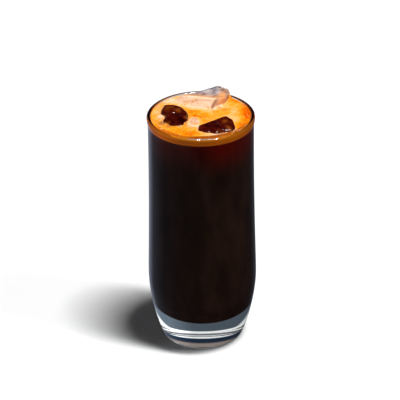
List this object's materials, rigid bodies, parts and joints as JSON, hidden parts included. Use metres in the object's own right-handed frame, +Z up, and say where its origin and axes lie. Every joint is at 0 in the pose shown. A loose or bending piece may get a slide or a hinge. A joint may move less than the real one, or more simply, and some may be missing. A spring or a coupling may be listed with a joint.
{
  "type": "iced coffee",
  "caption": "Iced black coffee under an orange crema, brim-full in a tall heavy-based clear tumbler, with melting ice breaking the surface.",
  "frame": {"origin": "centre of the glass's foot, on the surface that it stands on", "axes": "+Z up along the glass's axis, -Y towards the side that the picture shows, +X to the right of the picture"},
  "size_m": [0.0684, 0.0684, 0.1637],
  "materials": {
    "glass": "clear polished soda-lime glass",
    "coffee": "still black coffee, a liquid",
    "crema": "fine coffee foam, orange with paler marbling",
    "clear_ice": "wet clear ice with a few cracks",
    "stained_ice": "wet ice with black coffee showing through"
  },
  "bodies": {
    "root": {"glass": "glass", "coffee": "coffee", "crema": "crema", "ice_back": "clear_ice", "ice_middle": "clear_ice", "ice_left": "stained_ice", "ice_right": "stained_ice"}
  },
  "joints": []
}
